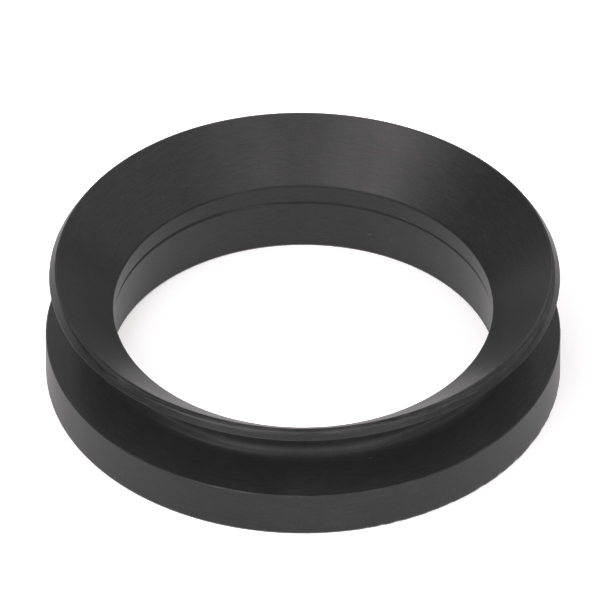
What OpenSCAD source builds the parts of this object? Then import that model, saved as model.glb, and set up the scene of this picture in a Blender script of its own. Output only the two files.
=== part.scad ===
// Rubber V-ring: an elastic shaft seal that grips a shaft by its bore
// and runs a conical lip against a flat face.
// It lies on its flat back at z = 0, with the shaft axis on Z and the lip up.

/* [Body] */
// Diameter of the bore that grips the shaft
bore_d = 25; // [23:0.5:26.5]
// Diameter of the outer wall of the body
outer_d = 33; // [31:0.5:38]
// Height of the outer wall above the back face
wall_h = 3.1; // [2.4:0.1:3.3]

/* [Bore bead] */
// Height of the bore, from the back face up to the bead
bore_h = 4; // [3.6:0.05:4.4]
// Height of the straight part of the bore, below the part that draws in
grip_h = 1.6; // [1.2:0.05:2.4]
// How far the bore draws in from its straight part up to the bead
bore_draw = 0.28; // [0.1:0.02:0.34]
// Height of the bead between the bore and the lip
bead_h = 1.2; // [0.8:0.05:1.5]
// How far the bead stands in from the bore
bead_step = 0.35; // [0.2:0.05:0.5]
// Height of the mouth of the fine crease between the bore and the bead
crease_h = 0.25; // [0.16:0.01:0.35]
// Depth of that crease behind the bead
crease_d = 0.3; // [0.2:0.02:0.4]

/* [Lip] */
// Height of the lip's top edge above the back face, before the edge is rounded
lip_top = 8.35; // [7.8:0.05:9]
// Slope of the cone inside the lip, in degrees from the back face
lip_slope = 39.7; // [37:0.1:43]
// Slope of the lip's underside, in degrees from the back face
under_slope = 40.5; // [38.5:0.1:42]
// Width of the end face around the top of the lip
tip_w = 0.79; // [0.6:0.01:1]
// Lean of the end face, in degrees from the shaft axis
tip_lean = 32; // [24:1:40]

/* [Groove] */
// Thickness of the rubber between the bead and the bottom of the groove
neck_t = 0.95; // [0.7:0.05:1.3]
// Radius of the bottom of the groove, between the lip and the body's shoulder
root_round = 0.9; // [0.5:0.05:1.1]

/* [Edges] */
// Radius at the foot of the outer wall and of the bore
foot_round = 0.08; // [0.04:0.02:0.2]
// Radius at the top of the outer wall
wall_round = 0.1; // [0.06:0.02:0.3]
// Radius where the lip's cone runs over into the bead
throat_round = 0.25; // [0.1:0.05:0.8]
// Radius of the two edges of the lip's end face
tip_round = 0.1; // [0.04:0.02:0.14]
// Radius of the fine edges at the bead and the crease below it
fine_round = 0.03; // [0.01:0.01:0.05]

/* [Hidden] */

// Straight steps that make up each rounded edge of the section
arc_steps = 6;
// Largest share of a straight stretch that the rounding of one of its ends may take
edge_share = 0.6;
// Sides of the round shapes on screen
round_sides = 180;

bore_r = bore_d / 2;
outer_r = outer_d / 2;
bead_r = bore_r - bead_step;
bead_top = bore_h + bead_h;
drawn_r = bore_r - bore_draw;
crease_r = bead_r + crease_d;
crease_low_z = bore_h - crease_h;
crease_mid_z = bore_h - crease_h / 2;

// Ends of the lip's end face
tip_in_r = bead_r + (lip_top - bead_top) / tan(lip_slope);
tip_out_r = tip_in_r + tip_w * sin(tip_lean);
tip_out_z = lip_top - tip_w * cos(tip_lean);

// Centre of the groove's round bottom, which touches the lip's underside
root_r = bead_r + neck_t + root_round;
root_z = tip_out_z - (tip_out_r - root_r) * tan(under_slope) - root_round / cos(under_slope);

// Slope of the body's shoulder, from the top of the outer wall to where it touches the round bottom
root_away = norm([outer_r - root_r, root_z - wall_h]);
shoulder_slope = atan2(root_z - wall_h, outer_r - root_r) - asin(root_round / root_away);

// Corner in which the lip's underside and the shoulder would meet without the round bottom
apex_fall = tan(under_slope) + tan(shoulder_slope);
apex_rise = wall_h + outer_r * tan(shoulder_slope) - tip_out_z + tip_out_r * tan(under_slope);
apex_r = apex_rise / apex_fall;
apex_z = wall_h + (outer_r - apex_r) * tan(shoulder_slope);

// Corners of the section as [radius, height, rounding], from the bore's foot round the outside
section_corners = [
    [bore_r, 0, foot_round],
    [outer_r, 0, foot_round],
    [outer_r, wall_h, wall_round],
    [apex_r, apex_z, root_round],
    [tip_out_r, tip_out_z, tip_round],
    [tip_in_r, lip_top, tip_round],
    [bead_r, bead_top, throat_round],
    [bead_r, bore_h, fine_round],
    [crease_r, crease_mid_z, fine_round],
    [drawn_r, crease_low_z, fine_round],
    [bore_r, grip_h, fine_round],
];

// Point of a corner, and the unit vector from one point to another
function spot(corner) = [corner[0], corner[1]];
function unit(from, to) = (to - from) / norm(to - from);

// Arc tangent to both edges that meet at a corner, of the radius asked for or what the edges hold
function corner_arc(before, at, after, asked) =
    let (
        back = unit(at, before),
        ahead = unit(at, after),
        half = acos(back * ahead) / 2,
        room = edge_share * min(norm(before - at), norm(after - at)),
        radius = min(asked, room * tan(half)),
        reach = radius / tan(half),
        centre = at + unit([0, 0], back + ahead) * radius / sin(half),
        spoke = at + back * reach - centre,
        turn = cross(ahead, back) > 0 ? 1 : -1,
        sweep = turn * (180 - 2 * half)
    )
    [
        at + back * reach,
        for (i = [1:arc_steps - 1])
            let (a = sweep * i / arc_steps)
            centre + [spoke[0] * cos(a) - spoke[1] * sin(a), spoke[0] * sin(a) + spoke[1] * cos(a)],
        at + ahead * reach
    ];

// Outline of the section, with every corner rounded
function rounded(corners) =
    let (n = len(corners))
    [
        for (i = [0:n - 1])
            each corner_arc(
                spot(corners[(i + n - 1) % n]),
                spot(corners[i]),
                spot(corners[(i + 1) % n]),
                corners[i][2]
            )
    ];

// The whole ring, moulded in one piece of black nitrile rubber
module v_ring() {
    color([0.16, 0.16, 0.16])
        rotate_extrude($fn = round_sides)
            polygon(rounded(section_corners));
}

v_ring();
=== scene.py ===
"""Looks of a rubber V-ring that lies on its flat back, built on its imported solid."""

import logging
import math
from dataclasses import dataclass, field, replace
from enum import Enum
from typing import Optional

import bpy
import numpy as np
from mathutils import Matrix, Vector


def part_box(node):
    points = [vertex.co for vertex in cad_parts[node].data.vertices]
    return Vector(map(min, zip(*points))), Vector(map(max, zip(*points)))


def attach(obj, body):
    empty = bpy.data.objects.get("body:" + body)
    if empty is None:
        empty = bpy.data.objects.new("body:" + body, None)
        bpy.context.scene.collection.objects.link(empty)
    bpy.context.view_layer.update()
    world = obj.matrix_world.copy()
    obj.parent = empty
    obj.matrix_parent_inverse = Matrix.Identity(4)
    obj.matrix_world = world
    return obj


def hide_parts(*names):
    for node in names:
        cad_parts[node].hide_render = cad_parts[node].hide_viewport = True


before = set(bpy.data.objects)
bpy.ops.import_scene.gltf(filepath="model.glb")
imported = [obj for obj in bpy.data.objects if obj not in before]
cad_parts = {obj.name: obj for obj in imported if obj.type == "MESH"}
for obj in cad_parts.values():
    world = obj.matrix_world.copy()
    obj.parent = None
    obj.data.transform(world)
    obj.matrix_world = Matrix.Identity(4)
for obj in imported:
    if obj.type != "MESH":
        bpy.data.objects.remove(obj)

LOG = logging.getLogger("v_ring")
MM = 0.001


class Stretch(Enum):
    """Straight stretches of the ring's section, each by the number of the corner that it starts from."""

    BACK = 0
    WALL = 1
    SHOULDER = 2
    UNDERSIDE = 3
    TIP = 4
    CONE = 5
    BEAD = 6
    CREASE_TOP = 7
    CREASE_FOOT = 8
    DRAWN_BORE = 9
    BORE = 10


class Tier(Enum):
    """Tiers of soft panels, each by its angle above the floor in degrees and its number of panels."""

    LOW = (10.0, 12)
    MIDDLE = (30.0, 12)
    HIGH = (50.0, 24)
    STEEP = (70.0, 12)
    TOP = (88.0, 1)

    @property
    def rise_deg(self) -> float:
        """Gives the tier's angle above the floor."""
        return self.value[0]

    @property
    def panels(self) -> int:
        """Gives the number of panels in the tier."""
        return self.value[1]


@dataclass(frozen=True)
class SectionLine:
    """Closed line of points round the ring's section.

    Attributes:
        radius: Distance of each point from the shaft axis, in mm.
        height: Height of each point above the back face, in mm.
        run: Length along the line up to each point, in mm.
        wear: How much each point sits on an outer edge, from 0 to 1.
    """

    radius: np.ndarray
    height: np.ndarray
    run: np.ndarray
    wear: np.ndarray


@dataclass(frozen=True)
class RingSection:
    """Section of the ring, in mm and degrees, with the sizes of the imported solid.

    Attributes:
        bore_d: Diameter of the bore at its foot.
        outer_d: Diameter of the outer wall.
        wall_h: Height of the outer wall.
        bore_h: Height of the bore, up to the bead.
        grip_h: Height of the straight part of the bore.
        bore_draw: How far the bore draws in up to the bead.
        bead_h: Height of the bead.
        bead_step: How far the bead stands in from the bore.
        crease_h: Height of the mouth of the crease under the bead.
        crease_d: Depth of the crease behind the bead.
        lip_top: Height of the lip's top edge before it is rounded.
        lip_slope: Slope of the cone inside the lip, from the back face.
        under_slope: Slope of the lip's underside, from the back face.
        tip_w: Width of the end face round the top of the lip.
        tip_lean: Lean of the end face from the shaft axis.
        neck_t: Thickness between the bead and the bottom of the groove.
        root_round: Radius of the bottom of the groove.
        foot_round: Radius at the foot of the wall and of the bore.
        wall_round: Radius at the top of the wall.
        throat_round: Radius where the cone runs over into the bead.
        tip_round: Radius of the inner edge of the end face.
        rim_round: Radius of the outer edge of the end face.
        fine_round: Radius of the fine edges at the bead and the crease.
    """

    bore_d: float = 25.0
    outer_d: float = 33.0
    wall_h: float = 3.1
    bore_h: float = 4.0
    grip_h: float = 1.6
    bore_draw: float = 0.28
    bead_h: float = 1.2
    bead_step: float = 0.35
    crease_h: float = 0.25
    crease_d: float = 0.3
    lip_top: float = 8.35
    lip_slope: float = 39.7
    under_slope: float = 40.5
    tip_w: float = 0.79
    tip_lean: float = 32.0
    neck_t: float = 0.95
    root_round: float = 0.9
    foot_round: float = 0.08
    wall_round: float = 0.1
    throat_round: float = 0.25
    tip_round: float = 0.1
    rim_round: float = 0.1
    fine_round: float = 0.03

    def corners(self) -> list[tuple[float, float, float]]:
        """Lists the section's corners as radius, height and rounding.

        Returns:
            Eleven corners in mm, from the bore's foot round the outside.
        """
        slope = math.radians(self.lip_slope)
        lean = math.radians(self.tip_lean)
        bore_r = self.bore_d / 2
        outer_r = self.outer_d / 2
        bead_r = bore_r - self.bead_step
        bead_top = self.bore_h + self.bead_h
        under = math.radians(self.under_slope)
        tip_in_r = bead_r + (self.lip_top - bead_top) / math.tan(slope)
        tip_out_r = tip_in_r + self.tip_w * math.sin(lean)
        tip_out_z = self.lip_top - self.tip_w * math.cos(lean)
        root_r = bead_r + self.neck_t + self.root_round
        root_z = tip_out_z - (tip_out_r - root_r) * math.tan(under) - self.root_round / math.cos(under)
        root_away = math.hypot(outer_r - root_r, root_z - self.wall_h)
        touch = math.asin(self.root_round / root_away)
        shoulder = math.atan2(root_z - self.wall_h, outer_r - root_r) - touch
        rise = self.wall_h + outer_r * math.tan(shoulder) - tip_out_z + tip_out_r * math.tan(under)
        apex_r = rise / (math.tan(under) + math.tan(shoulder))
        apex_z = self.wall_h + (outer_r - apex_r) * math.tan(shoulder)
        return [
            (bore_r, 0.0, self.foot_round),
            (outer_r, 0.0, self.foot_round),
            (outer_r, self.wall_h, self.wall_round),
            (apex_r, apex_z, self.root_round),
            (tip_out_r, tip_out_z, self.rim_round),
            (tip_in_r, self.lip_top, self.tip_round),
            (bead_r, bead_top, self.throat_round),
            (bead_r, self.bore_h, self.fine_round),
            (bead_r + self.crease_d, self.bore_h - self.crease_h / 2, self.fine_round),
            (bore_r - self.bore_draw, self.bore_h - self.crease_h, self.fine_round),
            (bore_r, self.grip_h, self.fine_round),
        ]

    def line(self, arc_steps: int, pitch: float, share: float = 0.6, margin: float = 0.05) -> SectionLine:
        """Lays points along the rounded section.

        Args:
            arc_steps: Steps in each rounded corner.
            pitch: Largest distance between points on a straight stretch, in mm.
            share: Largest share of a stretch that one rounding may take.
            margin: Distance from a rounding to the next point on a straight stretch, in mm.

        Returns:
            The points, with their run and wear.
        """
        corners = self.corners()
        count = len(corners)
        arcs: list[np.ndarray] = []
        wears: list[float] = []
        for i, (radius, height, asked) in enumerate(corners):
            at = np.array([radius, height])
            before = np.array(corners[i - 1][:2]) - at
            after = np.array(corners[(i + 1) % count][:2]) - at
            room = share * min(np.linalg.norm(before), np.linalg.norm(after))
            back = before / np.linalg.norm(before)
            ahead = after / np.linalg.norm(after)
            half = math.acos(float(np.clip(back @ ahead, -1, 1))) / 2
            bend = min(asked, room * math.tan(half))
            reach = bend / math.tan(half)
            toward = back + ahead
            centre = at + toward / np.linalg.norm(toward) * bend / math.sin(half)
            spoke = at + back * reach - centre
            turn = 1.0 if ahead[0] * back[1] - ahead[1] * back[0] > 0 else -1.0
            angles = np.linspace(0, turn * (math.pi - 2 * half), arc_steps + 1)
            arcs.append(np.stack([
                centre[0] + spoke[0] * np.cos(angles) - spoke[1] * np.sin(angles),
                centre[1] + spoke[0] * np.sin(angles) + spoke[1] * np.cos(angles),
            ], axis=1))
            wears.append(1.0 if turn > 0 and i < Stretch.BEAD.value else 0.0)
        points: list[np.ndarray] = []
        wear: list[float] = []
        for i in range(count):
            start = arcs[i][-1]
            end = arcs[(i + 1) % count][0]
            points.extend(arcs[i])
            wear.extend([wears[i]] * (arc_steps + 1))
            length = float(np.linalg.norm(end - start))
            near = min(margin, length / 4)
            steps = max(1, math.ceil(math.dist(corners[i][:2], corners[(i + 1) % count][:2]) / pitch))
            for t in np.linspace(near, length - near, steps + 1) / length:
                points.append(start + (end - start) * t)
                wear.append(0.0)
        laid = np.array(points)
        gaps = np.linalg.norm(np.diff(laid, axis=0), axis=1)
        return SectionLine(
            radius=laid[:, 0],
            height=laid[:, 1],
            run=np.concatenate([[0.0], np.cumsum(gaps)]),
            wear=np.array(wear),
        )


@dataclass(frozen=True)
class LipDip:
    """Place where the soft lip hangs a little.

    Attributes:
        at_deg: Azimuth of the lowest place.
        depth: How far the lip hangs there, in mm.
        narrow: How quickly the dip runs out to its sides.
    """

    at_deg: float
    depth: float
    narrow: float


@dataclass(frozen=True)
class LipFlex:
    """Slight lean and sag of the soft lip.

    Attributes:
        lean: How far the lip's edge stands out at +X and in at -X, in mm.
        gather: Odd power that gathers the lean towards +X and -X.
        dips: Places where the lip hangs.
        from_z: Height in mm below which the ring keeps its form.
        full_z: Height in mm from which the whole lean and sag show.
    """

    lean: float = 0.09
    gather: int = 3
    dips: tuple[LipDip, ...] = (LipDip(-92.0, 0.08, 16.0), LipDip(72.0, 0.13, 3.0))
    from_z: float = 5.0
    full_z: float = 7.6

    def ramp(self, height: np.ndarray) -> np.ndarray:
        """Gives the share of the lean and sag that shows at heights in mm."""
        part = np.clip((height - self.from_z) / (self.full_z - self.from_z), 0, 1)
        return part * part * (3 - 2 * part)

    def push(self, turn: np.ndarray) -> np.ndarray:
        """Gives how far the lip's edge stands out at azimuths in radians, in mm."""
        return self.lean * np.cos(turn) ** self.gather

    def drop(self, turn: np.ndarray) -> np.ndarray:
        """Gives the sag of the lip's edge.

        Args:
            turn: Azimuths in radians.

        Returns:
            How far the edge sinks at each azimuth, in mm.
        """
        sunk = np.zeros_like(turn)
        for dip in self.dips:
            near = np.maximum(0, np.cos(turn - math.radians(dip.at_deg)))
            sunk = sunk + dip.depth * near ** dip.narrow
        return sunk


@dataclass(frozen=True)
class CreaseFill:
    """Fine crease under the bead, which gapes on one side and runs shallow on the others.

    Attributes:
        gape_deg: Azimuth at which the crease is deepest.
        least: Share of its depth on the sides where it runs shallow.
        gather: Power that gathers the deep part towards its azimuth.
    """

    gape_deg: float = 180.0
    least: float = 0.28
    gather: float = 1.5

    def depth(self, turn: np.ndarray) -> np.ndarray:
        """Gives the share of the crease's depth at azimuths in radians."""
        side = np.cos(turn - math.radians(self.gape_deg))
        return self.least + (1 - self.least) * np.maximum(0, side) ** self.gather


@dataclass(frozen=True)
class FootFlash:
    """Ragged film left along the lower outer edge where the mould parted.

    Attributes:
        from_deg: Azimuth at which the ragged part starts.
        to_deg: Azimuth at which it ends.
        depth: Largest nick in the ragged edge, in mm.
        height: Height above the back face that it reaches, in mm.
        reach: How far in from the wall it starts, in mm.
        fade: Distance over which it comes in from there, in mm.
        knots: Corners of its irregular outline.
        seed: Seed of that outline.
    """

    from_deg: float = -78.0
    to_deg: float = -6.0
    depth: float = 0.09
    height: float = 0.22
    reach: float = 0.5
    fade: float = 0.4
    knots: int = 64
    seed: int = 11

    def inset(self, turn: np.ndarray, radius: np.ndarray, height: np.ndarray, wall_r: float) -> np.ndarray:
        """Gives how far the ragged edge stands in from the wall.

        Args:
            turn: Azimuths in radians.
            radius: Radii in mm, of the same shape.
            height: Heights in mm, of the same shape.
            wall_r: Radius of the outer wall, in mm.

        Returns:
            The inset of each point, in mm.
        """
        rng = np.random.default_rng(self.seed)
        places = np.linspace(math.radians(self.from_deg), math.radians(self.to_deg), self.knots)
        jag = rng.random(self.knots) ** 2
        jag[[0, 1, -2, -1]] = 0.0
        ragged = np.interp(turn, places, jag, left=0.0, right=0.0)
        low = np.clip(1 - height / self.height, 0, 1)
        outside = np.clip((radius - wall_r + self.reach) / self.fade, 0, 1)
        return self.depth * ragged * low * outside


@dataclass(frozen=True)
class RimNick:
    """Small notch in the outer edge of the lip.

    Attributes:
        at_deg: Azimuth of the notch.
        width: Half its width along the edge, in mm.
        depth: Depth into the edge, in mm.
    """

    at_deg: float
    width: float
    depth: float


@dataclass
class NodeBench:
    """Bench on which a material's nodes are set out and joined.

    Attributes:
        tree: Node tree of the material.
    """

    tree: bpy.types.NodeTree

    def add(self, kind: str, **settings: object) -> bpy.types.Node:
        """Adds a node.

        Args:
            kind: Blender's name of the node.
            settings: Values for its properties.

        Returns:
            The node.
        """
        node = self.tree.nodes.new(kind)
        for name, value in settings.items():
            setattr(node, name, value)
        return node

    def join(self, source: bpy.types.NodeSocket, target: bpy.types.NodeSocket) -> None:
        """Joins an output to an input."""
        self.tree.links.new(source, target)

    def feed(self, target: bpy.types.NodeSocket, value: object) -> None:
        """Sets an input to a number, or joins it to an output.

        Args:
            target: Input to feed.
            value: Number or output.
        """
        if isinstance(value, bpy.types.NodeSocket):
            self.join(value, target)
        else:
            target.default_value = value

    def math(self, kind: str, a: object, b: object) -> bpy.types.NodeSocket:
        """Works out one sum.

        Args:
            kind: Operation of the Math node.
            a: First number or output.
            b: Second number or output.

        Returns:
            The result's output.
        """
        node = self.add("ShaderNodeMath", operation=kind)
        self.feed(node.inputs[0], a)
        self.feed(node.inputs[1], b)
        return node.outputs[0]

    def spread(
        self, value: object, low: float, high: float, to_low: float, to_high: float
    ) -> bpy.types.NodeSocket:
        """Maps one range of values onto another.

        Args:
            value: Output to map.
            low: Value that becomes to_low.
            high: Value that becomes to_high.
            to_low: Result at low.
            to_high: Result at high.

        Returns:
            The clamped result's output.
        """
        node = self.add("ShaderNodeMapRange", clamp=True)
        for place, part in enumerate((value, low, high, to_low, to_high)):
            self.feed(node.inputs[place], part)
        return node.outputs[0]

    def noise(
        self, vector: object, scale: float, detail: float = 2.0, run: Optional[object] = None
    ) -> bpy.types.NodeSocket:
        """Makes a noise pattern.

        Args:
            vector: Output with the coordinates.
            scale: Fineness of the pattern.
            detail: Layers of finer noise.
            run: Fourth coordinate, if the pattern has one.

        Returns:
            The noise's output, from 0 to 1.
        """
        node = self.add("ShaderNodeTexNoise", noise_dimensions="3D" if run is None else "4D")
        self.feed(node.inputs["Vector"], vector)
        self.feed(node.inputs["Scale"], scale)
        self.feed(node.inputs["Detail"], detail)
        if run is not None:
            self.feed(node.inputs["W"], run)
        return node.outputs["Fac"]


@dataclass(frozen=True)
class RubberFinish:
    """Satin black nitrile rubber with fine turning marks from its mould.

    Attributes:
        name: Name of the material.
        deep: Linear grey of clean rubber.
        bloom: Linear grey where the rubber has bloomed.
        rubbed: Linear grey on rubbed edges.
        dust: Linear grey of dust.
        roughness: Mean roughness.
        roughness_play: How far the roughness varies.
        mark_depth: Height of the turning marks, in metres.
        grain_depth: Height of the skin's grain, in metres.
        mark_scale: Fineness of the turning marks, on a circle of radius 1.
        mark_pitch: Factor on the run across the section, in mm, that sets those marks close together.
        fine_scale: Fineness of the finer turning marks, on a circle of radius 1.
        fine_pitch: Factor on the run across the section, in mm, for the finer marks.
        grain_scale: Grains of the skin in a metre.
        mottle_scale: Fine uneven spots in a metre.
        patch_scale: Coarse uneven patches in a metre.
        speck_scale: Places in a metre where a speck of dust may lie.
        speck_rare: Share of those places that stay clean.
        speck_size: Radius of a speck, as a share of a place's width.
        blue: Blue of the rubber beside its red and green.
        polish: How much smoother a rubbed edge is.
        reflectance: Specular level.
        index: Index of refraction.
        sheen: Weight of the pale sheen at flat angles.
        sheen_roughness: Roughness of that sheen.
        skin: Weight of the smoother skin that the mould left.
        skin_roughness: Roughness of that skin.
    """

    name: str = "nitrile_rubber"
    deep: float = 0.010
    bloom: float = 0.016
    rubbed: float = 0.022
    dust: float = 0.06
    roughness: float = 0.42
    roughness_play: float = 0.06
    mark_depth: float = 2.6e-6
    grain_depth: float = 2.4e-6
    mark_scale: float = 3.0
    mark_pitch: float = 5.0
    fine_scale: float = 13.0
    fine_pitch: float = 3.6
    grain_scale: float = 7000.0
    mottle_scale: float = 420.0
    patch_scale: float = 110.0
    speck_scale: float = 700.0
    speck_rare: float = 0.985
    speck_size: float = 0.055
    blue: float = 1.03
    polish: float = 0.05
    reflectance: float = 0.3
    index: float = 1.5
    sheen: float = 0.1
    sheen_roughness: float = 0.35
    skin: float = 0.2
    skin_roughness: float = 0.2

    def material(self) -> bpy.types.Material:
        """Sets out the finish as a node material.

        Returns:
            The material.
        """
        made = bpy.data.materials.new(self.name)
        made.use_nodes = True
        bench = NodeBench(made.node_tree)
        shader = made.node_tree.nodes["Principled BSDF"]
        place = bench.add("ShaderNodeTexCoord").outputs["Object"]
        run = bench.add("ShaderNodeAttribute", attribute_name="section_run").outputs["Fac"]
        wear = bench.add("ShaderNodeAttribute", attribute_name="edge_wear").outputs["Fac"]
        flat = bench.add("ShaderNodeVectorMath", operation="MULTIPLY")
        bench.join(place, flat.inputs[0])
        flat.inputs[1].default_value = (1.0, 1.0, 0.0)
        round_way = bench.add("ShaderNodeVectorMath", operation="NORMALIZE")
        bench.join(flat.outputs[0], round_way.inputs[0])
        across = bench.math("MULTIPLY", run, self.mark_pitch)
        fine_across = bench.math("MULTIPLY", run, self.fine_pitch)
        marks = bench.noise(round_way.outputs[0], self.mark_scale, run=across)
        fine_marks = bench.noise(round_way.outputs[0], self.fine_scale, run=fine_across)
        grain = bench.noise(place, self.grain_scale)
        mottle = bench.noise(place, self.mottle_scale, detail=4.0)
        patches = bench.noise(place, self.patch_scale)
        grainy = bench.spread(grain, 0.3, 0.7, 0.75, 1.25)
        streaky = bench.spread(fine_marks, 0.36, 0.64, 0.4, 1.7)
        streaks = bench.math("MULTIPLY", grainy, streaky)
        self._colour(bench, shader, mottle, patches, streaks, wear, place)
        self._roughness(bench, shader, fine_marks, mottle, wear)
        self._relief(bench, shader, marks, fine_marks, grain)
        shader.inputs["Specular IOR Level"].default_value = self.reflectance
        shader.inputs["IOR"].default_value = self.index
        shader.inputs["Sheen Weight"].default_value = self.sheen
        shader.inputs["Sheen Roughness"].default_value = self.sheen_roughness
        shader.inputs["Coat Weight"].default_value = self.skin
        shader.inputs["Coat Roughness"].default_value = self.skin_roughness
        return made

    def _colour(
        self,
        bench: NodeBench,
        shader: bpy.types.Node,
        mottle: bpy.types.NodeSocket,
        patches: bpy.types.NodeSocket,
        streaks: bpy.types.NodeSocket,
        wear: bpy.types.NodeSocket,
        place: bpy.types.NodeSocket,
    ) -> None:
        """Colours the rubber.

        Args:
            bench: Bench with the material's nodes.
            shader: Shader to colour.
            mottle: Fine uneven pattern.
            patches: Coarse uneven pattern.
            streaks: Grain and turning marks of the skin.
            wear: Rubbed edges.
            place: Place on the ring.
        """
        cloud = bench.math("MULTIPLY", mottle, bench.spread(patches, 0.35, 0.7, 0.3, 1.0))
        grey = bench.spread(cloud, 0.1, 0.6, self.deep, self.bloom)
        paler = bench.spread(mottle, 0.4, 0.65, 0.0, self.rubbed - self.deep)
        grey = bench.math("ADD", grey, bench.math("MULTIPLY", wear, paler))
        grey = bench.math("MULTIPLY", grey, streaks)
        specks = bench.add("ShaderNodeTexVoronoi", feature="F1")
        bench.join(place, specks.inputs["Vector"])
        specks.inputs["Scale"].default_value = self.speck_scale
        tint = bench.add("ShaderNodeSeparateColor")
        bench.join(specks.outputs["Color"], tint.inputs[0])
        rare = bench.math("GREATER_THAN", tint.outputs[0], self.speck_rare)
        near = bench.math("LESS_THAN", specks.outputs["Distance"], self.speck_size)
        dusted = bench.math("MULTIPLY", rare, near)
        grey = bench.math("ADD", grey, bench.math("MULTIPLY", dusted, self.dust))
        colour = bench.add("ShaderNodeCombineColor")
        bench.join(grey, colour.inputs[0])
        bench.join(grey, colour.inputs[1])
        bench.join(bench.math("MULTIPLY", grey, self.blue), colour.inputs[2])
        bench.join(colour.outputs[0], shader.inputs["Base Color"])

    def _roughness(
        self,
        bench: NodeBench,
        shader: bpy.types.Node,
        fine_marks: bpy.types.NodeSocket,
        mottle: bpy.types.NodeSocket,
        wear: bpy.types.NodeSocket,
    ) -> None:
        """Gives the rubber its uneven sheen.

        Args:
            bench: Bench with the material's nodes.
            shader: Shader to roughen.
            fine_marks: Finer turning marks.
            mottle: Fine uneven pattern.
            wear: Rubbed edges.
        """
        lined = bench.math("MULTIPLY", fine_marks, 0.6)
        uneven = bench.math("ADD", lined, bench.math("MULTIPLY", mottle, 0.4))
        low = self.roughness - self.roughness_play
        high = self.roughness + self.roughness_play
        rough = bench.spread(uneven, 0.35, 0.65, low, high)
        rough = bench.math("SUBTRACT", rough, bench.math("MULTIPLY", wear, self.polish))
        bench.join(rough, shader.inputs["Roughness"])

    def _relief(
        self,
        bench: NodeBench,
        shader: bpy.types.Node,
        marks: bpy.types.NodeSocket,
        fine_marks: bpy.types.NodeSocket,
        grain: bpy.types.NodeSocket,
    ) -> None:
        """Gives the rubber its turning marks and grain.

        Args:
            bench: Bench with the material's nodes.
            shader: Shader to bump.
            marks: Turning marks.
            fine_marks: Finer turning marks.
            grain: Grain of the skin.
        """
        turned = bench.add("ShaderNodeBump")
        turned.inputs["Distance"].default_value = self.mark_depth
        lined = bench.math("ADD", bench.math("MULTIPLY", marks, 0.6), fine_marks)
        bench.join(lined, turned.inputs["Height"])
        skin = bench.add("ShaderNodeBump")
        skin.inputs["Distance"].default_value = self.grain_depth
        bench.join(grain, skin.inputs["Height"])
        bench.join(turned.outputs["Normal"], skin.inputs["Normal"])
        bench.join(skin.outputs["Normal"], shader.inputs["Normal"])


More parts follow.
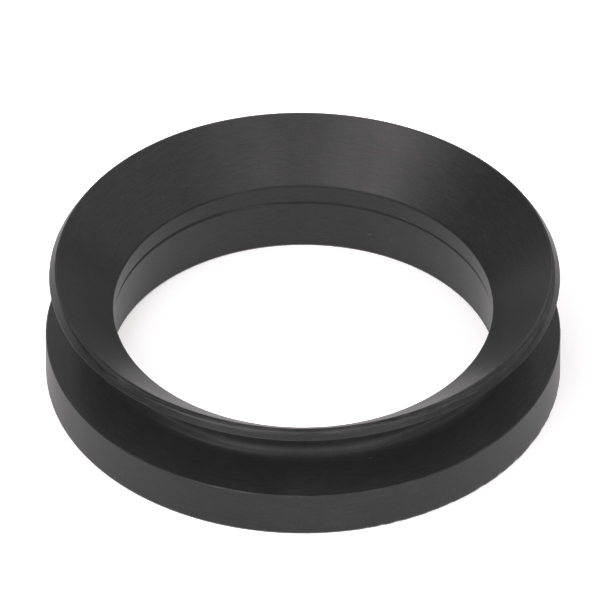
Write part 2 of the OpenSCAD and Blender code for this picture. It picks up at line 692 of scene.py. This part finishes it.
@dataclass
class VRing:
    """The whole ring: body, bore, bead, groove and lip in one moulded piece.

    Attributes:
        section: Section of this ring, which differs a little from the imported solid's.
        soft_tip: Radius of the inner edge of the lip's end face where the edge is soft, in mm.
        soft_rim: Radius of its outer edge there, in mm.
        soft_deg: Azimuth of the middle of the soft part.
        soft_gain: How quickly the edge softens towards that azimuth.
        soft_start: Level at which it starts to soften.
        crease: Depth of the crease round the ring.
        finish: Finish of the rubber.
        flex: Lean and sag of the lip.
        flash: Ragged film at the foot.
        nicks: Notches in the lip's outer edge.
        nick_reach: Distance from that edge that a notch reaches, in mm.
        crease_room: Distance behind the bead within which points belong to the crease, in mm.
        arc_steps: Steps in each rounded corner.
        pitch: Largest distance between points along the section, in mm.
        coarse_deg: Angle between sections round most of the ring.
        fine_deg: Angle between sections along the ragged edge.
    """

    section: RingSection = RingSection(
        bore_d=24.88, grip_h=0.3, bore_draw=0.22, bead_step=0.29, crease_h=0.34, crease_d=0.38,
        foot_round=0.14, tip_round=0.08, rim_round=0.08,
    )
    soft_tip: float = 0.4
    soft_rim: float = 0.02
    soft_deg: float = -80.0
    soft_gain: float = 2.2
    soft_start: float = 0.1
    crease: CreaseFill = field(default_factory=CreaseFill)
    finish: RubberFinish = field(default_factory=RubberFinish)
    flex: LipFlex = field(default_factory=LipFlex)
    flash: FootFlash = field(default_factory=FootFlash)
    nicks: tuple[RimNick, ...] = (
        RimNick(-128.0, 0.5, 0.05),
        RimNick(-63.0, 0.4, 0.04),
        RimNick(31.0, 0.6, 0.05),
        RimNick(152.0, 0.5, 0.05),
    )
    nick_reach: float = 0.25
    crease_room: float = 0.6
    arc_steps: int = 7
    pitch: float = 0.6
    coarse_deg: float = 1.0
    fine_deg: float = 0.35

    def turns(self) -> np.ndarray:
        """Lists the azimuths of the mesh's sections.

        Returns:
            Azimuths in radians, closer together along the ragged edge.
        """
        start, end = self.flash.from_deg, self.flash.to_deg
        close = np.arange(start, end, self.fine_deg)
        rest = np.arange(end, start + 360.0, self.coarse_deg)
        return np.radians(np.concatenate([close, rest]))

    def build(self) -> bpy.types.Object:
        """Turns the section round the shaft axis into a mesh.

        Returns:
            The ring, in place on the CAD's root body.
        """
        line = self.section.line(self.arc_steps, self.pitch)
        soft_section = replace(self.section, tip_round=self.soft_tip, rim_round=self.soft_rim)
        soft = soft_section.line(self.arc_steps, self.pitch)
        turns = self.turns()
        turn = np.repeat(turns[:, None], len(line.radius), axis=1)
        toward = np.cos(turn - math.radians(self.soft_deg))
        blend = np.clip(self.soft_gain * toward - self.soft_start, 0, 1)
        radius = line.radius[None, :] * (1 - blend) + soft.radius[None, :] * blend
        height = line.height[None, :] * (1 - blend) + soft.height[None, :] * blend
        wrapped = (turn + math.pi) % (2 * math.pi) - math.pi
        radius = radius - self.flash.inset(wrapped, radius, height, self.section.outer_d / 2)
        radius = radius - self._notches(wrapped, line)
        radius = radius - self._filled(line)[None, :] * (1 - self.crease.depth(wrapped))
        ramp = self.flex.ramp(height)
        radius = radius + ramp * self.flex.push(wrapped)
        points = np.stack([
            radius * np.cos(turn),
            radius * np.sin(turn),
            height - ramp * self.flex.drop(wrapped),
        ], axis=2) * MM
        low, high = (np.array(corner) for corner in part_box("v_ring"))
        points = np.clip(points, low, high)
        mesh = self._mesh(points.reshape(-1, 3), len(turns), len(line.radius))
        self._note(mesh, "section_run", np.tile(line.run, len(turns)))
        self._note(mesh, "edge_wear", np.tile(line.wear, len(turns)))
        ring = bpy.data.objects.new("v_ring_rubber", mesh)
        bpy.context.scene.collection.objects.link(ring)
        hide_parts("v_ring")
        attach(ring, "root")
        return ring

    def dress(self, ring: bpy.types.Object) -> None:
        """Gives the ring its rubber finish."""
        ring.data.materials.append(self.finish.material())

    def _filled(self, line: SectionLine) -> np.ndarray:
        """Gives how deep each point of the section lies in the crease under the bead.

        Args:
            line: Section of the ring.

        Returns:
            Depth of each point behind the mouth of the crease, in mm.
        """
        top_r, top_z, _ = self.section.corners()[Stretch.CREASE_TOP.value]
        foot_r, foot_z, _ = self.section.corners()[Stretch.DRAWN_BORE.value]
        mouth = np.interp(line.height, [foot_z, top_z], [foot_r, top_r])
        level = (line.height > foot_z) & (line.height < top_z)
        inside = level & (line.radius < top_r + self.crease_room)
        return np.where(inside, np.maximum(0, line.radius - mouth), 0.0)

    def _notches(self, turn: np.ndarray, line: SectionLine) -> np.ndarray:
        """Gives the depth of the notches in the lip's outer edge.

        Args:
            turn: Azimuths in radians, by turn and point.
            line: Section of the ring.

        Returns:
            Depth of each point's notch, in mm.
        """
        edge_r, edge_z, _ = self.section.corners()[Stretch.TIP.value]
        away = np.hypot(line.radius - edge_r, line.height - edge_z)
        close = np.clip(1 - away / self.nick_reach, 0, 1)[None, :]
        cut = np.zeros_like(turn)
        for nick in self.nicks:
            gap = (turn - math.radians(nick.at_deg) + math.pi) % (2 * math.pi) - math.pi
            cut = cut + nick.depth * np.clip(1 - np.abs(gap) * edge_r / nick.width, 0, 1)
        return cut * close

    @staticmethod
    def _mesh(points: np.ndarray, turns: int, around: int) -> bpy.types.Mesh:
        """Joins the points into a closed skin.

        Args:
            points: Points in metres, section after section.
            turns: Number of sections.
            around: Points in each section.

        Returns:
            The smooth mesh.
        """
        j, i = np.meshgrid(np.arange(turns), np.arange(around), indexing="ij")
        j_next = (j + 1) % turns
        i_next = (i + 1) % around
        faces = np.stack([
            j * around + i,
            j_next * around + i,
            j_next * around + i_next,
            j * around + i_next,
        ], axis=2).reshape(-1, 4)
        mesh = bpy.data.meshes.new("v_ring_rubber")
        mesh.from_pydata(points.tolist(), [], faces.tolist())
        mesh.shade_smooth()
        mesh.update()
        return mesh

    @staticmethod
    def _note(mesh: bpy.types.Mesh, name: str, values: np.ndarray) -> None:
        """Keeps one number for each point of the mesh."""
        layer = mesh.attributes.new(name, "FLOAT", "POINT")
        layer.data.foreach_set("value", values.astype(np.float32))


@dataclass(frozen=True)
class FloorFinish:
    """Plain white studio floor.

    Attributes:
        name: Name of the material.
        white: Linear grey of the floor.
        play: How far that grey varies.
        spot_scale: Uneven spots in a metre.
        roughness: Roughness of the floor.
        reflectance: Specular level.
        glow: Light that the floor gives off by itself.
    """

    name: str = "studio_floor"
    white: float = 0.86
    play: float = 0.01
    spot_scale: float = 60.0
    roughness: float = 0.9
    reflectance: float = 0.1
    glow: float = 0.22

    def material(self) -> bpy.types.Material:
        """Sets out the finish as a node material.

        Returns:
            The material.
        """
        made = bpy.data.materials.new(self.name)
        made.use_nodes = True
        bench = NodeBench(made.node_tree)
        shader = made.node_tree.nodes["Principled BSDF"]
        place = bench.add("ShaderNodeTexCoord").outputs["Object"]
        paper = bench.noise(place, self.spot_scale)
        grey = bench.spread(paper, 0.3, 0.7, self.white - self.play, self.white + self.play)
        colour = bench.add("ShaderNodeCombineColor")
        for channel in colour.inputs:
            bench.join(grey, channel)
        bench.join(colour.outputs[0], shader.inputs["Base Color"])
        shader.inputs["Roughness"].default_value = self.roughness
        shader.inputs["Specular IOR Level"].default_value = self.reflectance
        shader.inputs["Emission Color"].default_value = (1.0, 1.0, 1.0, 1.0)
        shader.inputs["Emission Strength"].default_value = self.glow
        return made


@dataclass(frozen=True)
class Softbox:
    """Soft panel that faces the ring.

    Attributes:
        name: Name of the light.
        turn_deg: Direction of the panel round the shaft axis, from the camera's side towards the right.
        rise_deg: Angle of the panel above the floor.
        width_deg: Width of the panel as the ring sees it.
        depth_deg: Depth of the panel as the ring sees it.
        radiance: Brightness of its face.
        away: Distance from the ring, in metres.
        tint: Colour of its light.
    """

    name: str
    turn_deg: float
    rise_deg: float
    width_deg: float
    depth_deg: float
    radiance: float
    away: float = 0.6
    tint: tuple[float, float, float] = (1.0, 0.96, 0.965)

    def hang(self) -> bpy.types.Object:
        """Hangs the light in the studio.

        Returns:
            The light.
        """
        turn = math.radians(self.turn_deg)
        rise = math.radians(self.rise_deg)
        way = Vector((math.sin(turn) * math.cos(rise), -math.cos(turn) * math.cos(rise), math.sin(rise)))
        data = bpy.data.lights.new(self.name, "AREA")
        data.shape = "RECTANGLE"
        data.size = 2 * self.away * math.tan(math.radians(self.width_deg / 2))
        data.size_y = 2 * self.away * math.tan(math.radians(self.depth_deg / 2))
        data.energy = self.radiance * math.pi * data.size * data.size_y
        data.color = self.tint
        lamp = bpy.data.objects.new(data.name, data)
        lamp.location = way * self.away
        lamp.rotation_euler = way.to_track_quat("Z", "Y").to_euler()
        lamp.visible_camera = False
        bpy.context.scene.collection.objects.link(lamp)
        return lamp


@dataclass(frozen=True)
class Glow:
    """Broad bright part of the studio, shared out over the soft panels.

    Attributes:
        turn_deg: Direction of its middle round the shaft axis, from the camera's side towards the right.
        rise_deg: Angle of its middle above the floor.
        strength: Brightness of its middle.
        wide_deg: Angle over which it fades to its sides.
        tall_deg: Angle over which it fades upwards and downwards.
    """

    turn_deg: float
    rise_deg: float
    strength: float
    wide_deg: float
    tall_deg: float

    def toward(self, turn_deg: float, rise_deg: float) -> float:
        """Gives its brightness in one direction.

        Args:
            turn_deg: Direction round the shaft axis, counted like the glow's own.
            rise_deg: Angle above the floor.

        Returns:
            The brightness.
        """
        aside = (turn_deg - self.turn_deg + 180.0) % 360.0 - 180.0
        above = rise_deg - self.rise_deg
        return self.strength * math.exp(-((aside / self.wide_deg) ** 2) - (above / self.tall_deg) ** 2)


@dataclass(frozen=True)
class PhotoCamera:
    """Camera at the photograph's viewing angle, for a square picture.

    Attributes:
        elevation_deg: Angle of the view above the floor.
        distance: Distance from the ring's origin, in metres.
        lens: Focal length in mm.
        sensor: Width of the sensor in mm.
        aim_right: Place of the picture's centre to the right of the origin, in metres.
        aim_up: Place of the picture's centre above the origin, in metres.
    """

    elevation_deg: float = 39.5
    distance: float = 1.3088
    lens: float = 1222.9
    sensor: float = 36.0
    aim_right: float = -0.0002
    aim_up: float = 0.004385

    def set_up(self) -> bpy.types.Object:
        """Sets up the camera and makes it the scene's.

        Returns:
            The camera.
        """
        rise = math.radians(self.elevation_deg)
        ahead = Vector((0.0, math.cos(rise), -math.sin(rise)))
        up = Vector((0.0, math.sin(rise), math.cos(rise)))
        right = Vector((1.0, 0.0, 0.0))
        data = bpy.data.cameras.new("photo_camera")
        data.lens = self.lens
        data.sensor_width = self.sensor
        data.clip_start = 0.05
        data.clip_end = 20.0
        camera = bpy.data.objects.new("photo_camera", data)
        turned = Matrix((right, up, -ahead)).transposed()
        stand = right * self.aim_right + up * self.aim_up - ahead * self.distance
        camera.matrix_world = Matrix.Translation(stand) @ turned.to_4x4()
        bpy.context.scene.collection.objects.link(camera)
        bpy.context.scene.camera = camera
        return camera


@dataclass
class Studio:
    """White floor, soft lights and camera round the ring.

    Attributes:
        floor_finish: Finish of the floor.
        camera: Camera of the studio.
        key: Main light, high at the left.
        overhead: Light overhead, towards the right.
        low_left: Light from low at the camera's left.
        low_right: Light from low at the camera's right.
        right: Light from the right.
        back_right: Light from behind, to the right.
        back_left: Light from behind, to the left.
        panel_deg: Depth of each soft panel as the ring sees it.
        faint: Brightness below which a panel is left out.
        flare: Light that the lens scatters over the picture.
        plain_tones: Tones that the picture keeps as they are.
        white_from: Tone from which the picture is white.
        floor_side: Side of the square floor, in metres.
        floor_gap: Room between the floor and the ring's back face, in metres.
    """

    floor_finish: FloorFinish = field(default_factory=FloorFinish)
    camera: PhotoCamera = field(default_factory=PhotoCamera)
    key: Glow = Glow(turn_deg=312.0, rise_deg=60.0, strength=5.7, wide_deg=28.0, tall_deg=18.0)
    overhead: Glow = Glow(turn_deg=40.0, rise_deg=85.0, strength=3.1, wide_deg=34.0, tall_deg=40.0)
    low_left: Glow = Glow(turn_deg=332.0, rise_deg=5.0, strength=2.6, wide_deg=22.0, tall_deg=22.0)
    low_right: Glow = Glow(turn_deg=22.0, rise_deg=5.0, strength=2.2, wide_deg=22.0, tall_deg=22.0)
    right: Glow = Glow(turn_deg=105.0, rise_deg=40.0, strength=1.5, wide_deg=21.0, tall_deg=19.0)
    back_right: Glow = Glow(turn_deg=155.0, rise_deg=35.0, strength=1.0, wide_deg=18.0, tall_deg=24.0)
    back_left: Glow = Glow(turn_deg=210.0, rise_deg=45.0, strength=1.2, wide_deg=21.0, tall_deg=40.0)
    panel_deg: float = 20.0
    faint: float = 0.01
    flare: float = 0.009
    plain_tones: tuple[float, ...] = (0.12, 0.24, 0.3, 0.35)
    white_from: float = 0.72
    floor_side: float = 6.0
    floor_gap: float = 0.00002

    def build_floor(self) -> bpy.types.Object:
        """Lays the floor under the ring.

        Returns:
            The floor.
        """
        half = self.floor_side / 2
        mesh = bpy.data.meshes.new("studio_floor")
        corners = [(-half, -half, 0.0), (half, -half, 0.0), (half, half, 0.0), (-half, half, 0.0)]
        mesh.from_pydata(corners, [], [(0, 1, 2, 3)])
        mesh.materials.append(self.floor_finish.material())
        floor = bpy.data.objects.new("studio_floor", mesh)
        floor.location = (0.0, 0.0, -self.floor_gap)
        bpy.context.scene.collection.objects.link(floor)
        return floor

    def hang_tier(self, tier: Tier) -> None:
        """Hangs a closed row of soft panels, as bright as the glows are in their directions.

        Args:
            tier: Row to hang.
        """
        front = (self.key, self.overhead, self.low_left, self.low_right)
        glows = front + (self.right, self.back_right, self.back_left)
        step = 360.0 / tier.panels
        width = step * math.cos(math.radians(tier.rise_deg)) if tier.panels > 1 else self.panel_deg
        for k in range(tier.panels):
            turn = k * step
            strength = sum(glow.toward(turn, tier.rise_deg) for glow in glows)
            if strength > self.faint:
                name = f"panel_{tier.name.lower()}_{turn:03.0f}"
                Softbox(name, turn, tier.rise_deg, width, self.panel_deg, strength).hang()

    def light(self) -> None:
        """Hangs the soft panels in a room that is dark by itself."""
        for tier in Tier:
            self.hang_tier(tier)
        world = bpy.data.worlds.new("studio_room")
        world.use_nodes = True
        world.node_tree.nodes["Background"].inputs["Strength"].default_value = 0.0
        bpy.context.scene.world = world

    def set_up(self) -> None:
        """Sets up the whole studio with plain colour management."""
        self.build_floor()
        self.light()
        self.camera.set_up()
        self.set_tones()

    def set_tones(self) -> None:
        """Sets plain colour management with the lens's flare and a white floor."""
        view = bpy.context.scene.view_settings
        view.view_transform = "Standard"
        view.look = "None"
        view.use_curve_mapping = True
        curves = view.curve_mapping
        curves.black_level = (-self.flare,) * 3
        curves.white_level = (1.0 - self.flare,) * 3
        tone = curves.curves[3]
        for level in self.plain_tones:
            tone.points.new(level, level)
        tone.points.new(self.white_from, 1.0)
        curves.update()


def main() -> None:
    """Builds the ring and the studio."""
    logging.basicConfig(level=logging.INFO, format="%(name)s: %(message)s")
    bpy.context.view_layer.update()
    ring = VRing()
    piece = ring.build()
    ring.dress(piece)
    LOG.info("%s: %d faces", piece.name, len(piece.data.polygons))
    Studio().set_up()


if __name__ == "__main__":
    main()
